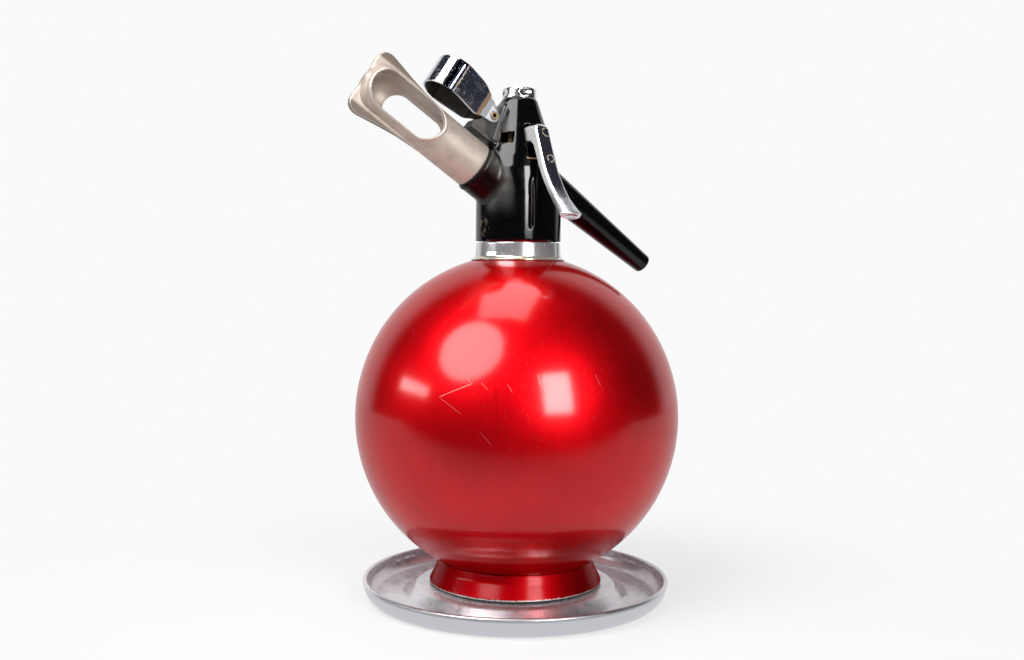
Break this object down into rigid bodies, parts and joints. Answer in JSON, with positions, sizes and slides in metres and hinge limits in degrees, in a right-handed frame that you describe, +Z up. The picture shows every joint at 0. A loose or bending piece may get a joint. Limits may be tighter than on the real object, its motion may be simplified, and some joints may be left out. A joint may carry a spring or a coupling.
{
  "type": "soda siphon",
  "caption": "Round soda siphon on a drip tray, with a screw-on head that carries a squeeze lever, a sloping spout, a hinged port cover and a winged charger holder.",
  "frame": {"origin": "on the vessel's upright axis, on the plane that the drip tray stands on", "axes": "+Z up along the vessel's axis, +X along the spout, -X along the charger holder, -Y along the lever"},
  "size_m": [0.1857, 0.175, 0.2903],
  "materials": {
    "red_aluminium": "red anodised, satin, with fine scratches",
    "tray_metal": "plated sheet with a soft shine",
    "ring_chrome": "polished chrome, yellowed at the lower lip",
    "black_moulding": "glossy black phenolic moulding with dust and fine scratches",
    "cast_alloy": "warm grey satin casting",
    "lever_chrome": "polished chrome",
    "cover_chrome": "polished chrome, dull brown inside",
    "brass": "dulled machined brass",
    "steel": "turned steel",
    "rubber": "matt black rubber",
    "clear_plastic": "milky plastic tube"
  },
  "bodies": {
    "tray": {"drip_tray": "tray_metal"},
    "vessel": {"globe": "red_aluminium", "foot_ring": "red_aluminium", "foot_bumper": "rubber", "neck_ring": "ring_chrome"},
    "tube": {"dip_tube": "clear_plastic", "strainer": "clear_plastic", "head_seal": "rubber"},
    "head": {"head_casing": "black_moulding", "valve_body": "brass", "valve_seat": "steel", "valve_gland": "brass", "valve_spring": "steel", "relief_valve": "brass", "top_cap": "ring_chrome", "spout": "black_moulding", "port_insert": "brass", "piercing_pin": "steel", "charger_seal": "rubber", "lever_pin": "steel", "cover_pin": "brass"},
    "lever": {"lever": "lever_chrome"},
    "valve": {"valve_stem": "steel", "valve_washer": "rubber"},
    "cover": {"port_cover": "cover_chrome"},
    "holder_gasket": {"port_gasket": "rubber"},
    "holder": {"charger_holder": "cast_alloy"}
  },
  "joints": [
    {"name": "vessel_lift", "type": "slide", "parent": "tray", "child": "vessel", "axis": [0, 0, 1], "range_m": [0, 0.05]},
    {"name": "head_lift", "type": "slide", "parent": "vessel", "child": "tube", "axis": [0, 0, 1], "range_m": [0, 0.2]},
    {"name": "head_turn", "type": "hinge", "parent": "tube", "child": "head", "pos_m": [0, 0, 0.2], "axis": [0, 0, 1], "continuous": true},
    {"name": "lever_squeeze", "type": "hinge", "parent": "head", "child": "lever", "pos_m": [0, -0.0134, 0.25051], "axis": [1, 0, 0], "range_deg": [0, 10], "stiffness_Nm_per_rad": 2, "springref_deg": -8.59},
    {"name": "valve_lift", "type": "slide", "parent": "head", "child": "valve", "axis": [0, 0, 1], "range_m": [0, 0.0027], "deforming": ["valve_spring"]},
    {"name": "cover_hinge", "type": "hinge", "parent": "head", "child": "cover", "pos_m": [-0.0183, 0, 0.25937], "axis": [0, 1, 0], "range_deg": [0, 32]},
    {"name": "holder_pull", "type": "slide", "parent": "head", "child": "holder_gasket", "axis": [-0.832, 0, 0.5548], "range_m": [0, 0.085]},
    {"name": "holder_turn", "type": "hinge", "parent": "holder_gasket", "child": "holder", "pos_m": [0, 0, 0.21471], "axis": [-0.832, 0, 0.5548], "continuous": true}
  ],
  "couplings": [
    {"joint": "valve_lift", "follows": "lever_squeeze", "m_per_rad": 0.0148}
  ]
}
